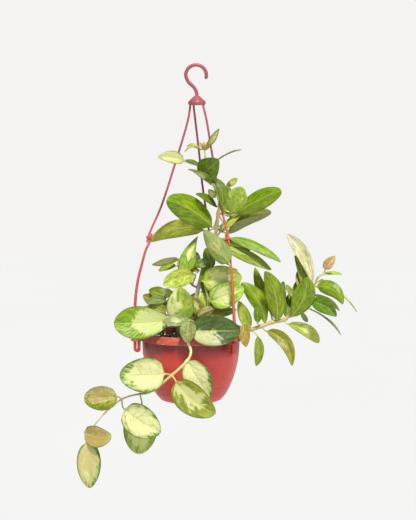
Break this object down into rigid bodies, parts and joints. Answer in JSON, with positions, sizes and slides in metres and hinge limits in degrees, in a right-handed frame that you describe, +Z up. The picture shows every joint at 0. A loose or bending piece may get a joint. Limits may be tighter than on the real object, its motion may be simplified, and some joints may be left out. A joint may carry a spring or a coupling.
{
  "type": "potted hoya plant",
  "caption": "Variegated hoya in a red plastic hanging pot, with upright and trailing leafy stems and a hooked hanger of linked arms.",
  "frame": {"origin": "where the hanger's hook bears on what holds it up", "axes": "+Z up, front of the plant towards -Y, +X to the right seen from the front"},
  "size_m": [0.4145, 0.2078, 0.623],
  "materials": {
    "pot_plastic": "satin",
    "hanger_plastic": "satin",
    "soil": "matt",
    "leaf_green": "waxy",
    "leaf_pale": "waxy"
  },
  "bodies": {
    "root": {"pot": "pot_plastic", "soil": "soil", "hanger_hook": "hanger_plastic", "arm_upper_left": "hanger_plastic", "arm_lower_left": "hanger_plastic", "arm_upper_right": "hanger_plastic", "arm_lower_right": "hanger_plastic", "arm_upper_back": "hanger_plastic", "arm_lower_back": "hanger_plastic", "stem_tall": "leaf_green", "stem_centre": "leaf_green", "stem_front": "leaf_green", "stem_left": "leaf_green", "branch_right": "leaf_green", "vine_front": "leaf_pale", "vine_back": "leaf_green", "stem_back": "leaf_green"}
  },
  "joints": []
}
